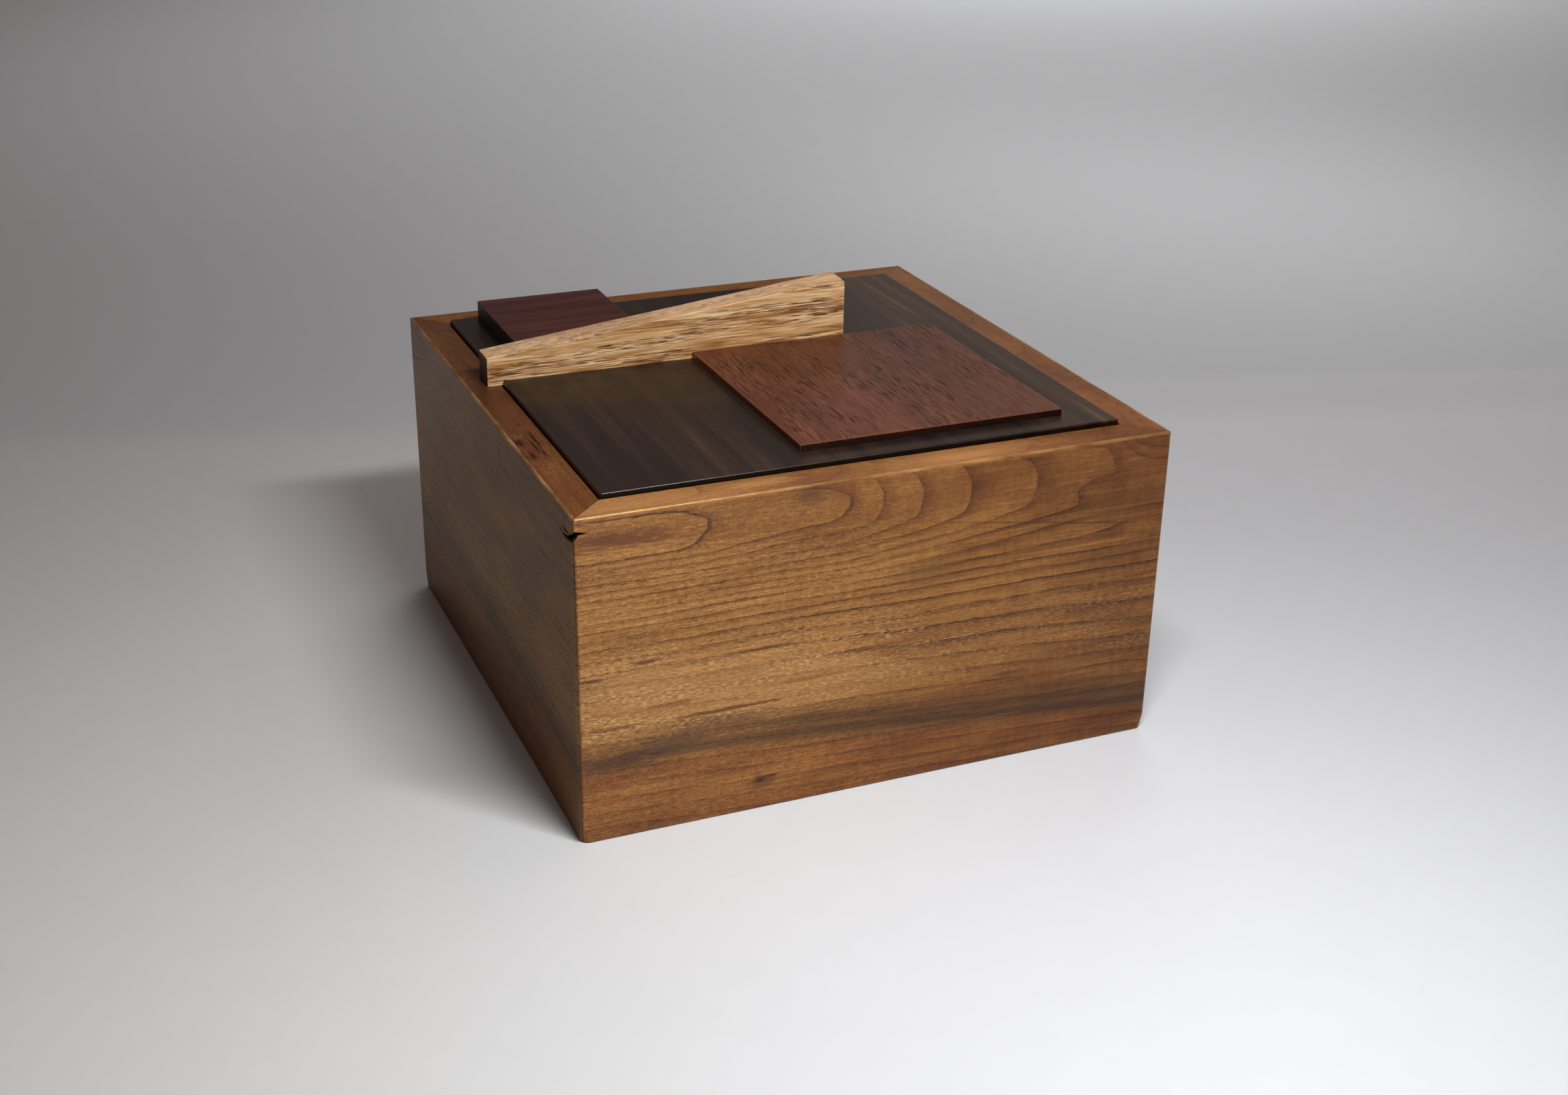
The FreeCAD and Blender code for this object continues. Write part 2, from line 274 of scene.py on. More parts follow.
# mm along the strip, how much its fibres glitter: the strength of the painted golden sparkle, and of the fine
# fibres and specks
texture_and_sparkle = [
    (-203, 0.45), (-5, 0.5), (0, 1.0), (60, 0.95), (110, 0.6), (150, 0.3), (203, 0.3), (406, 0.7), (609, 0.6),
]
print("rings on the front wall:", dict(ring_tips)[182.9], "tips,", ring_depths[-1][1], "lines")

# %% Set the bends of the lines
# depths in mm between which each effect comes in or goes out
slope_depths = (36, 76)
dip_depths = (18, 42)
tip_depths = (24, 44)
# the board lies a little out of true: mm by which the lower lines fall for each mm to the right
line_slope = 0.062
# mm by which slow waves and quick ripples bend the lines, and the rings' slope into the board
slow_reach = 2.4
quick_reach = 1.0
inward_slope = 0.9
# bulges: middle along and below the rim, half length and half height in mm, and what they add
twig_swirl = ((84, 13), (44, 14), 3.0)
hooked_tip = ((175.5, 16.5), (14, 6.5), 0.75 / tip_scale)


def on_strip(tree, strip, table, scale=1.0):
    """A curve along the strip of walls, from a table of (mm along, value)."""
    points = [((along - strip_start) / strip_length, value / scale) for along, value in table]
    return add(tree, "FloatCurve", {1: strip}, points=points)


def bulge(tree, along, depth, middle, half_size, amount):
    """A soft oval hill of a value, round a place along and below the rim, all in mm."""
    place = add(tree, "CombineXYZ", {0: along, 1: depth})
    scale = (1 / half_size[0], 1 / half_size[1], 0)
    shift = (-middle[0] * scale[0], -middle[1] * scale[1], 0)
    place = add(tree, "VectorMath", {0: place, 1: scale, 2: shift}, operation="MULTIPLY_ADD")
    away = add(tree, "VectorMath", {0: place}, operation="LENGTH").outputs["Value"]
    return add(tree, "MapRange", {0: away, 1: 0, 2: 1, 3: amount, 4: 0}, interpolation_type="SMOOTHSTEP")


def between_depths(tree, depth, depths, values):
    """A value that changes smoothly between two depths below the rim."""
    return add(tree, "MapRange", {0: depth, 1: depths[0], 2: depths[1], 3: values[0], 4: values[1]},
               interpolation_type="SMOOTHSTEP")


print("the lower lines fall by", round(line_slope * wall_width, 1), "mm along the front")

# %% Count the rings
def bent_depth(tree, board, strip, along, depth, inward):
    """The depth that a point would have if every ring line were level."""
    clamped = add(tree, "MapRange", {0: along, 1: -wall_width, 2: wall_width, 3: -wall_width, 4: wall_width})
    fall = between_depths(tree, depth, slope_depths, (0, -line_slope))
    bent = add(tree, "Math", {0: clamped, 1: fall, 2: depth}, operation="MULTIPLY_ADD")
    dips = on_strip(tree, strip, ring_dips, dip_scale)
    lowered = between_depths(tree, depth, dip_depths, (-dip_scale, 0))
    lifted = bulge(tree, along, depth, *twig_swirl)
    slow = drawn_out(tree, board, 46, 15, 1.5)
    quick = drawn_out(tree, board, 7, 1.6, 2.5)
    bends = ((dips, lowered), (lifted, 1), (slow, slow_reach), (quick, quick_reach), (inward, inward_slope))
    for wave, reach in bends:
        bent = add(tree, "Math", {0: wave, 1: reach, 2: bent}, operation="MULTIPLY_ADD")
    # a noise is a half on average, so half its reach is taken off again
    return chain(tree, "ADD", bent, -(slow_reach + quick_reach) / 2)


def walnut_rings(tree, board, strip, along, depth, inward):
    """The ring count at a point of a wall."""
    bent = bent_depth(tree, board, strip, along, depth, inward)
    share = add(tree, "MapRange", {0: bent, 1: highest_start, 2: wall_height, 3: 0, 4: 1})
    room = wall_height - highest_start
    levels = [((mm_below - highest_start) / room, rings / ring_scale) for mm_below, rings in ring_depths]
    level = add(tree, "FloatCurve", {1: share}, points=levels)
    near_rim = between_depths(tree, bent, tip_depths, (1, 0))
    tips = chain(tree, "MULTIPLY", on_strip(tree, strip, ring_tips, tip_scale), near_rim)
    # the last tip on the front is hooked: a hill in the count draws its lower half back by some 12 mm
    tips = chain(tree, "ADD", tips, bulge(tree, along, depth, *hooked_tip))
    sides = add(tree, "CombineXYZ", {0: level, 1: tips})
    sides = add(tree, "VectorMath", {0: sides, 1: (ring_scale, tip_scale, 0)}, operation="MULTIPLY")
    return add(tree, "VectorMath", {0: sides}, operation="LENGTH").outputs["Value"]


(upper_mm, upper_rings), (lower_mm, lower_rings) = ring_depths[-3:-1]
ring_gap = (lower_mm - upper_mm) / (lower_rings - upper_rings)
print("ring lines are about", round(ring_gap, 1), "mm apart in the middle of a wall")

# %% [markdown]
# ## Walnut walls: tone and colour
#
# A ring is darkest where the summer's growth stopped and then fades, so the fraction of the ring count
# draws a fine line and a soft shade beyond it. No two rings are alike: each has its own strength, which
# comes and goes along it. Broad shade, threads and short fibres are added to one tone, and a ramp turns the
# tone into browns.

# %% Shade the rings
def ring_shade(tree, depth, rings):
    """The line at the edge of each ring and the soft shade beyond it, as a tone round 0."""
    within = add(tree, "Math", {0: rings}, operation="FRACT")
    # rings lie far apart at the tips, so there a line of the same width takes a smaller share of its ring
    width = add(tree, "MapRange", {0: depth, 1: 12, 2: 28, 3: 0.1, 4: 0.17})
    line = add(tree, "MapRange", {0: within, 1: 0, 2: width, 3: -0.9, 4: 0})
    rise = add(tree, "MapRange", {0: within, 1: 0.985, 2: 1.0, 3: 0, 4: -0.9})
    ring_number = add(tree, "Math", {0: rings, 1: ring_scale}, operation="DIVIDE")
    ring_number = add(tree, "Math", {0: ring_number, 1: 1 / ring_scale}, operation="SNAP")
    own = add(tree, "FloatCurve", {1: ring_number},
              points=[(n / ring_scale, strength) for n, strength in enumerate(line_strengths)])
    line = chain(tree, "MULTIPLY", chain(tree, "ADD", line, rise), own)
    shade = add(tree, "MapRange", {0: within, 1: 0, 2: 0.55, 3: -0.16, 4: 0.08},
                interpolation_type="SMOOTHSTEP")
    return chain(tree, "ADD", line, shade)


def walnut_tone(tree, board, strip, depth, rings):
    """Light and dark of the walnut, a half being its middle tone, and the fibres for the bump."""
    strength = strokes(tree, board, 34, 4, 2, 3.0, (0.38, 0.6), (0.5, 1.1))
    # the rim is planed across the rings and shows them faintly, and so does the smoother wood low down
    below_rim = add(tree, "MapRange", {0: depth, 1: 0.1, 2: 0.7, 3: 0.35, 4: 1.0})
    low_down = between_depths(tree, depth, (50, 85), (1.0, 0.45))
    strength = chain(tree, "MULTIPLY", strength, below_rim, low_down, on_strip(tree, strip, ring_strengths))
    shade = ring_shade(tree, depth, rings)
    tone = add(tree, "Math", {0: shade, 1: strength, 2: 0.5}, operation="MULTIPLY_ADD")
    lively = on_strip(tree, strip, texture_and_sparkle)
    fibres = strokes(tree, board, 3.2, 0.45, 3, 11.0, (0.25, 0.75), (-0.2, 0.2))
    fibres = chain(tree, "MULTIPLY", fibres, lively)
    broad = strokes(tree, board, 45, 13, 2, 7.0, (0.3, 0.7), (-0.1, 0.1))
    threads = strokes(tree, board, 32, 0.9, 2, 13.0, (0.3, 0.7), (-0.1, 0.1))
    # curl: fibres that dive and rise, in ripples across the grain
    curl = strokes(tree, board, 2.2, 5, 2, 19.0, (0.3, 0.7), (-0.05, 0.05))
    specks = strokes(tree, board, 0.9, 0.3, 1, 29.0, (0.3, 0.7), (-0.14, 0.14))
    specks = chain(tree, "MULTIPLY", specks, lively)
    tone = chain(tree, "ADD", tone, fibres, broad, threads, curl, specks)
    # a value of a half leaves the tone as it is; on the front, part of this lightening is painted sheen
    paling_and_sheen = on_strip(tree, strip, paleness_and_sheen)
    tone = add(tree, "Math", {0: paling_and_sheen, 1: 0.5, 2: tone}, operation="MULTIPLY_ADD")
    return chain(tree, "ADD", tone, -0.25), fibres


walnut_browns = ["#3f240e", "#6e411b", "#8d5b29", "#ab7538", "#cc9c56"]
print("walnut browns from dark to light:", walnut_browns)

# %% Draw the smoky streak
# share of the way from the streak's upper to its lower side, how dark the strands are there
streak_strands = [
    (0.1, 0.0), (0.22, 0.4), (0.28, 0.3), (0.37, 0.8), (0.46, 0.5), (0.56, 0.9), (0.66, 0.45), (0.78, 0.0),
]
streak_raggedness = 6.0
streak_sides = (-8.5, 15.5)


def walnut_streak(tree, board, strip, depth, colour):
    """Lays the smoky streak over a colour, with the redder heartwood under it."""
    centre = on_strip(tree, strip, streak_depths, wall_height)
    ragged = drawn_out(tree, board, 30, 2.0, 3, 17.0)
    off = add(tree, "Math", {0: centre, 1: -wall_height, 2: depth}, operation="MULTIPLY_ADD")
    off = add(tree, "Math", {0: ragged, 1: streak_raggedness, 2: off}, operation="MULTIPLY_ADD")
    # the noise adds 3 mm on average, so 0 is 11.5 mm above the streak's line and 1 is 12.5 mm below it
    off = add(tree, "MapRange", {0: off, 1: streak_sides[0], 2: streak_sides[1], 3: 0, 4: 1})
    strands = add(tree, "ValToRGB", {0: off}, stops=streak_strands)
    strands = chain(tree, "MULTIPLY", strands, on_strip(tree, strip, streak_strengths))
    smoky = add(tree, "MixRGB", {0: strands, 1: colour, 2: linear("#402918")})
    under = add(tree, "MapRange", {0: off, 1: 0.62, 2: 0.8, 3: 0, 4: 1}, interpolation_type="SMOOTHSTEP")
    redness = strokes(tree, board, 80, 7, 2, 23.0, (0.35, 0.65), (0.2, 0.7))
    under = chain(tree, "MULTIPLY", under, redness)
    return add(tree, "MixRGB", {0: under, 1: smoky, 2: linear("#cf9f86")}, blend_type="MULTIPLY")


print("the streak lies", dict(streak_depths)[0], "to", dict(streak_depths)[203], "mm below the front's rim")

# %% [markdown]
# ## Walnut walls: natural marks
#
# A real board is known by its accidents: a pin knot, a swirl where a twig began, a patch of curled fibres
# that shines, a fine drying check. The shine of that patch and the pale gold on the front's rim are painted
# highlights, and a dark strip down the front's left arris is its glue line and painted shade. Each mark
# is a soft oval with a ragged edge, written as a row of a table in the strip's millimetres, and a loop lays
# the rows over the wood one by one. The rim has its own few, placed by how far they lie in from the outer
# face.

# %% List the marks
# painted light among these rows: the pale gold ovals at 36 and 84 mm along are painted sheen; the strip at
# 0.3 mm along is partly the corner's glue line and partly painted shade on its rounded arris
# mm along the strip, mm below the rim, half length, half height, colour, strength
marks = [
    (105, 4, 130, 22, "#6a3a1b", 0.36), (0.3, 62, 0.8, 62, "#5c2c18", 0.8), (36, 61, 60, 13, "#c08d54", 0.35),
    (84, 69, 42, 7, "#c08d54", 0.35), (14, 8.5, 22, 3.2, "#6b3c20", 0.6), (24, 10, 14, 1.2, "#693419", 0.5),
    (75, 3.5, 7, 4.5, "#55351d", 0.6), (86, 4, 6, 4.5, "#7c4526", 0.55), (200, 12, 30, 34, "#5c2f17", 0.3),
    (116, 36, 14, 6, "#7b5429", 0.45), (156, 48, 4, 3.5, "#b07c45", 0.3), (144, 50, 3, 3, "#b07c45", 0.25),
    (106, 27, 13, 3, "#7a4f25", 0.4), (30, 80.5, 14, 4, "#4c3a29", 0.55), (12, 83, 16, 3, "#3f2619", 0.6),
    (44, 76, 16, 2.6, "#5a3f28", 0.5), (60.5, 100, 5.5, 3, "#6e3a22", 0.7),
    (59.5, 99.5, 3, 0.9, "#2f170c", 0.9), (64, 98.5, 2, 0.5, "#3a1e10", 0.8),
    (21.5, 50, 5, 0.9, "#5a2c14", 0.85), (4, 53.5, 7, 0.8, "#5a2c14", 0.85),
    (61, 52.5, 14, 0.7, "#5f3216", 0.75), (97, 59, 17, 0.7, "#5f3216", 0.65),
    (48, 71.5, 20, 0.8, "#5a2e15", 0.8), (147, 78, 9, 0.8, "#57371c", 0.7),
    (30, 66, 12, 0.7, "#6a3a1a", 0.6), (10, 71, 12, 0.8, "#6a3a1a", 0.6), (75, 66, 14, 0.7, "#6a3a1a", 0.5),
    (181, 27, 6, 3, "#6b4520", 0.5), (-30, 24, 9, 0.8, "#3c2413", 0.5), (250, 40, 16, 5, "#b98a4c", 0.4),
    (330, 62, 5, 2, "#4d2b14", 0.7), (470, 30, 5, 3, "#5b3717", 0.6),
    (540, 66, 24, 6, "#c09055", 0.35),
]
# the pale gold ovals on the front's rim, from 24 to 132 mm along, are painted highlights
# mm along the strip, mm in from the outer face, half length, half width, colour, strength
rim_marks = [
    (-105, 6, 50, 16, "#56331f", 0.5), (-58, 5, 15, 5, "#6a3820", 0.6), (-66, 8, 9, 0.7, "#34180d", 1.0),
    (-60, 6.4, 8, 0.6, "#3a1c10", 1.0), (-64.5, 2.4, 3.2, 1.6, "#38190e", 0.95),
    (-52.5, 3.6, 3.6, 0.9, "#3f2013", 0.95), (-53.5, 7.6, 2, 0.8, "#3f2013", 0.9),
    (-54, 0.2, 10, 1.3, "#2c140b", 0.95), (-20, 6, 16, 1.2, "#6a3d20", 0.5), (78, 5, 10, 3, "#80482a", 0.6),
    (74, 8, 4, 1.2, "#5a3018", 0.6), (130, 5, 14, 3, "#c08450", 0.5), (24, 5, 34, 9, "#d79a5c", 0.25),
    (62, 7, 14, 3, "#d79a5c", 0.35), (132, 6, 34, 9, "#c89058", 0.35),
]
# a mark on a side goes right through the board, one on the rim fades out about this many mm below it
rim_mark_depth = 1 / 0.6
# the drying check's ends, as mm along the strip and mm below the rim
check_start = (112.0, 18.0)
check_end = (194.0, 30.8)
check_wander = 1.6
print("marks:", len(marks), "on the sides,", len(rim_marks), "on the rim and one drying check")

# %% Draw the marks
def lay_marks(tree, board, table, axes, into_face, colour, first):
    """Lays over a colour the marks of the wall that starts at first mm, painted sheen and shade among them.

    axes: the sockets that run along, across and into the face. into_face: 1 / mm in which a mark fades out.
    """
    ragged = strokes(tree, board, 6, 0.9, 3, 61.0, (0.3, 0.7), (-0.4, 0.4))
    flat = add(tree, "CombineXYZ", dict(enumerate(axes)))
    for mark_along, mark_across, half_length, half_height, mark_colour, strength in table:
        if not first <= mark_along < first + wall_width:
            continue
        away = (-mark_along / half_length, -mark_across / half_height, 0)
        away = add(tree, "VectorMath", {0: flat, 1: (1 / half_length, 1 / half_height, into_face), 2: away},
                   operation="MULTIPLY_ADD")
        away = add(tree, "VectorMath", {0: away}, operation="LENGTH").outputs["Value"]
        away = chain(tree, "ADD", away, ragged)
        here = add(tree, "MapRange", {0: away, 1: 0.35, 2: 1.25, 3: strength, 4: 0},
                   interpolation_type="SMOOTHSTEP")
        colour = add(tree, "MixRGB", {0: here, 1: colour, 2: linear(mark_colour)})
    return colour


def drying_check(tree, board, along, depth, colour):
    """A hair-fine reddish crack that crosses the lines under the rim of the front board."""
    slope = (check_end[1] - check_start[1]) / (check_end[0] - check_start[0])
    level = add(tree, "Math", {0: along, 1: -slope, 2: depth}, operation="MULTIPLY_ADD")
    # a noise is a half on average, so half of the wander is taken off again
    wander = drawn_out(tree, board, 20, 6, 2, 71.0)
    level = add(tree, "Math", {0: wander, 1: check_wander, 2: level}, operation="MULTIPLY_ADD")
    level = chain(tree, "SUBTRACT", level, check_start[1] - slope * check_start[0] + check_wander / 2)
    level = add(tree, "Math", {0: level}, operation="ABSOLUTE")
    fine = add(tree, "MapRange", {0: level, 1: 0.1, 2: 0.4, 3: 0.65, 4: 0})
    started = add(tree, "MapRange", {0: along, 1: check_start[0], 2: check_start[0] + 30, 3: 0, 4: 1})
    ended = add(tree, "MapRange", {0: along, 1: check_end[0] - 6, 2: check_end[0], 3: 1, 4: 0})
    fine = chain(tree, "MULTIPLY", fine, started, ended)
    return add(tree, "MixRGB", {0: fine, 1: colour, 2: linear("#4c2512")})


print("the drying check is", round(math.dist(check_start, check_end)), "mm long")

# %% [markdown]
# ## Walnut walls: the finish
#
# The walls are sanded fine and oiled, which darkens the pores and leaves a low sheen. Cut fibres lie side
# by side like brushed wire, so the wood shines in a band across the grain, and in gold: the shader is made
# a little metallic and anisotropic, with the fibres' direction as its tangent. Bark lines the flaw at one
# corner.

# %% Line the flaw with bark
# where bark is laid, in metres: in from either face, along either face, and above the foot
flaw_inwards = 0.006
flaw_along = 0.018
flaw_low = 0.08
flaw_high = 0.1085


def bark_lining(tree, colour):
    """Darkens what lies inside the flaw at the front left corner, where bark grew into the wood."""
    place_of = add(tree, "TexCoord").outputs["Object"]
    inside = add(tree, "VectorMath", {0: place_of, 1: carcass_low}, operation="SUBTRACT")
    east, north, up = add(tree, "SeparateXYZ", {0: inside}).outputs
    inwards = chain(tree, "MINIMUM", east, north)
    outwards = chain(tree, "MAXIMUM", east, north)
    deep = add(tree, "MapRange", {0: inwards, 1: 0.0001, 2: 0.0006, 3: 0, 4: 0.93})
    limits = [chain(tree, "LESS_THAN", inwards, flaw_inwards), chain(tree, "LESS_THAN", outwards, flaw_along),
              chain(tree, "LESS_THAN", up, flaw_high), chain(tree, "GREATER_THAN", up, flaw_low)]
    deep = chain(tree, "MULTIPLY", deep, *limits)
    return add(tree, "MixRGB", {0: deep, 1: colour, 2: linear("#140d09")})


print("bark is laid from", flaw_low * mm_per_metre, "to", flaw_high * mm_per_metre, "mm above the foot")

# %% Wear and colour the walnut
def pores_and_painted_sparkles(tree, board, strip, depth, colour):
    """Lays pores and painted gold highlights over a colour; gives the pores too, for the sheen and the bump.
    """
    # pores: short dark dashes about 3 mm long
    pores = strokes(tree, board, 3.4, 0.35, 1, 31.0, (0.62, 0.72), (0, 0.6))
    colour = add(tree, "MixRGB", {0: pores, 1: colour, 2: linear("#45280f")})
    # painted sparkles: gold highlights painted where the ends of curled fibres shine, thick in some places
    # and thickest above the streak
    where = strokes(tree, board, 30, 5, 2, 37.0, (0.42, 0.6), (0.4, 1))
    rising = between_depths(tree, depth, (40, 60), (0.25, 1))
    ending = between_depths(tree, depth, (70, 82), (1, 0.1))
    painted_sparkles = strokes(tree, board, 2.0, 0.5, 3, 41.0, (0.46, 0.64), (0, 0.9))
    painted_sparkles = chain(tree, "MULTIPLY", painted_sparkles, where, rising, ending, on_strip(tree, strip, texture_and_sparkle))
    return add(tree, "MixRGB", {0: painted_sparkles, 1: colour, 2: linear("#e8b97c")}), pores


def tinted_by_painted_light(tree, depth, colour, rim_light_tint, side_light_tint):
    """Tints the rim and the side apart: painted light, and painted shade on the shaded left wall."""
    below_rim = add(tree, "MapRange", {0: depth, 1: 0.1, 2: 0.7, 3: 0, 4: 1})
    light_tint = add(tree, "MixRGB", {0: below_rim, 1: linear(rim_light_tint), 2: linear(side_light_tint)})
    return add(tree, "MixRGB", {0: 1.0, 1: colour, 2: light_tint}, blend_type="MULTIPLY")


def worn_and_glued(tree, board, depth, colour, rubbed):
    """Rubs a colour bright at the edges and draws the line of glue in the mitres."""
    # cloths rub the rim's arris bright; the other edges are seldom touched
    handled = add(tree, "MapRange", {0: depth, 1: 1.5, 2: 5, 3: 1.0, 4: 0.15})
    often = strokes(tree, board, 25, 60, 2, 47.0, (0.4, 0.62), (0.05, 0.5))
    worn = chain(tree, "MULTIPLY", rubbed, chain(tree, "MULTIPLY", handled, often))
    colour = add(tree, "MixRGB", {0: worn, 1: colour, 2: linear("#d8a468")})
    # the mitre shows as a hair line of glue, where the two walls' distances from the middle are equal
    plan = add(tree, "VectorMath", {0: add(tree, "TexCoord").outputs["Object"]}, operation="ABSOLUTE")
    plan = add(tree, "SeparateXYZ", {0: plan})
    gap = chain(tree, "SUBTRACT", plan.outputs[0], plan.outputs[1])
    gap = add(tree, "Math", {0: gap}, operation="ABSOLUTE")
    glue = add(tree, "MapRange", {0: gap, 1: 0.0001, 2: 0.0004, 3: 0.6, 4: 0})
    return add(tree, "MixRGB", {0: glue, 1: colour, 2: linear("#2a190f")})


# the gold of the painted highlights on the walnut
print("gold of the flecks in linear light:", [round(c, 3) for c in linear("#e8b97c")[:3]])

# %% Dress the walls
def walnut_wall(name, first, compass_turn, light_tints, grain, specular):
    """The walnut of the wall that starts at first mm on the strip."""
    turn = (90, compass_turn, 0)
    place = (first + wall_width / 2, wall_height, wall_width / 2)
    material, tree, shader, board = new_wood(name, turn, place, 0.05, 0.3, specular)
    shader.inputs["Metallic"].default_value = 0.2
    shader.inputs["Anisotropic"].default_value = 0.8
    shader.inputs["Anisotropic Rotation"].default_value = 0.25
    fibre = add(tree, "CombineXYZ", dict(enumerate(grain)))
    tree.links.new(fibre.outputs[0], shader.inputs["Tangent"])
    along, depth, inward = add(tree, "SeparateXYZ", {0: board}).outputs
    strip = add(tree, "MapRange", {0: along, 1: strip_start, 2: strip_start + strip_length, 3: 0, 4: 1})
    rings = walnut_rings(tree, board, strip, along, depth, inward)
    tone, fibres = walnut_tone(tree, board, strip, depth, rings)
    colour = add(tree, "ValToRGB", {0: tone}, stops=list(zip((0.05, 0.3, 0.5, 0.7, 0.95), walnut_browns)))
    colour = walnut_streak(tree, board, strip, depth, colour)
    colour, pores = pores_and_painted_sparkles(tree, board, strip, depth, colour)
    colour = lay_marks(tree, board, marks, (along, depth, inward), 0, colour, first)
    colour = lay_marks(tree, board, rim_marks, (along, inward, depth), 1 / rim_mark_depth, colour, first)
    colour = drying_check(tree, board, along, depth, colour)
    # painted light: each wall's own tints, which are painted shade on the left wall
    colour = tinted_by_painted_light(tree, depth, colour, *light_tints)
    rubbed = rubbed_edges(tree, carcass_low, carcass_high, 1.0)
    colour = worn_and_glued(tree, board, depth, colour, rubbed)
    if name.endswith(("front_wall", "left_wall")):
        colour = bark_lining(tree, colour)
    tree.links.new(colour.outputs[0], shader.inputs["Base Color"])
    shine = add(tree, "MapRange", {0: pores, 1: 0, 2: 0.6, 3: 0.4, 4: 0.6})
    shine = add(tree, "Math", {0: rubbed, 1: -0.08, 2: shine}, operation="MULTIPLY_ADD")
    tree.links.new(shine.outputs[0], shader.inputs["Roughness"])
    height = add(tree, "Math", {0: pores, 1: -1.0, 2: fibres}, operation="MULTIPLY_ADD")
    bump = add(tree, "Bump", {"Height": height, "Strength": 0.35, "Distance": 0.0002})
    tree.links.new(bump.outputs[0], shader.inputs["Normal"])
    return material


# start on the strip, turn about the upright in degrees, painted-light tint of the rim and of the side
# (painted shade on the left wall), direction of the fibres, specular level
walls = {
    "front_wall": (0, 0, ("#ffffff", "#ffffff"), (1, 0, 0), 0.35),
    "right_wall": (wall_width, 90, ("#f4e6dc", "#f4e6dc"), (0, 1, 0), 0.35),
    "rear_wall": (2 * wall_width, 180, ("#f6e8da", "#fff4e8"), (1, 0, 0), 0.35),
    "left_wall": (-wall_width, -90, ("#d1c4d4", "#e2ebd0"), (0, 1, 0), 0.1),
}
for wall, settings in walls.items():
    wear_in(wall, walnut_wall("oiled_walnut_" + wall, *settings))
print("walls dressed:", len(walls))

# %% [markdown]
# ## Plain sawn boards
#
# The other woods have straight grain, so one recipe serves them all: broad bands, fine lines, open pores
# and painted highlights, each drawn out along the grain. What makes each wood itself is the numbers: how
# long and wide its pores are in millimetres, how they gather in clumps, and its colours from dark to light.
# A cut pore is a tiny trough, so one lip of it catches the light, and here that light is painted: the same
# noise, moved by a pore's width, paints a highlight beside each pore. Sawn across, the open fibres drink the
# finish and turn dark, so the ends of each board are darkened.

# %% Build the layers of a straight-grained wood
end_grain = "#4c3a2e"
grain_across = (0, 0, 0)
grain_forward = (0, 0, -90)
# as grain_across, but what counts as across the board is the height, downwards
grain_upright = (90, 0, 0)
# fibres that stand upright
grain_standing = (0, 90, 0)
stripe_sway = 9.0


def grain_of(turn):
    """The direction of the fibres in the box's frame, for a board whose pattern has this turn in degrees."""
    fibres = Vector((1, 0, 0))
    fibres.rotate(Euler([math.radians(a) for a in turn]).to_matrix().transposed())
    return fibres


def striped(tree, board, stripes):
    """Broad stripes along the grain that sway a little, as the tone to add plus a half."""
    first, last = stripes[0][0], stripes[-1][0]
    mean_sway = stripe_sway / 2
    sway = drawn_out(tree, board, 60, 20, 2, 33.0)
    across = add(tree, "SeparateXYZ", {0: board}).outputs[1]
    across = add(tree, "Math", {0: sway, 1: stripe_sway, 2: across}, operation="MULTIPLY_ADD")
    across = add(tree, "MapRange", {0: across, 1: first + mean_sway, 2: last + mean_sway, 3: 0, 4: 1})
    curve = [((place - first) / (last - first), 0.5 + added) for place, added in stripes]
    return add(tree, "FloatCurve", {1: across}, points=curve)


def pores_and_painted_glints(tree, board, pore, painted_glint, clumps):
    """How dark each point is with pores and how bright with the painted highlights beside them."""
    length, width, threshold, strength, _ = pore
    pores = strokes(tree, board, length, width, 1.5, 9.0, (threshold, threshold + 0.05), (0, strength))
    # painted highlights: the same noise, moved by a pore's width, paints a highlight on the lip beside each
    # pore
    beside = add(tree, "VectorMath", {0: board, 1: (0, width, width)}, operation="ADD")
    painted_glints = strokes(tree, beside, length, width, 1.5, 9.0, (painted_glint[0], painted_glint[0] + 0.06), (0, painted_glint[1]))
    if clumps:
        gathered = strokes(tree, board, clumps[0], clumps[1], 2, 51.0, (0.43, 0.57), (clumps[2], 1))
        pores = chain(tree, "MULTIPLY", pores, gathered)
        painted_glints = chain(tree, "MULTIPLY", painted_glints, gathered)
    return pores, painted_glints


def drunk_ends(tree, turn):
    """How much finish the wood drank, which is most where the fibres are cut across."""
    across_grain = add(tree, "VectorMath", {0: add(tree, "TexCoord").outputs["Normal"], 1: grain_of(turn)},
                       operation="DOT_PRODUCT").outputs["Value"]
    across_grain = add(tree, "Math", {0: across_grain}, operation="ABSOLUTE")
    return add(tree, "MapRange", {0: across_grain, 1: 0.75, 2: 0.95, 3: 0, 4: 0.9})


print("the ends' darkening in linear light:", [round(c, 3) for c in linear(end_grain)[:3]])

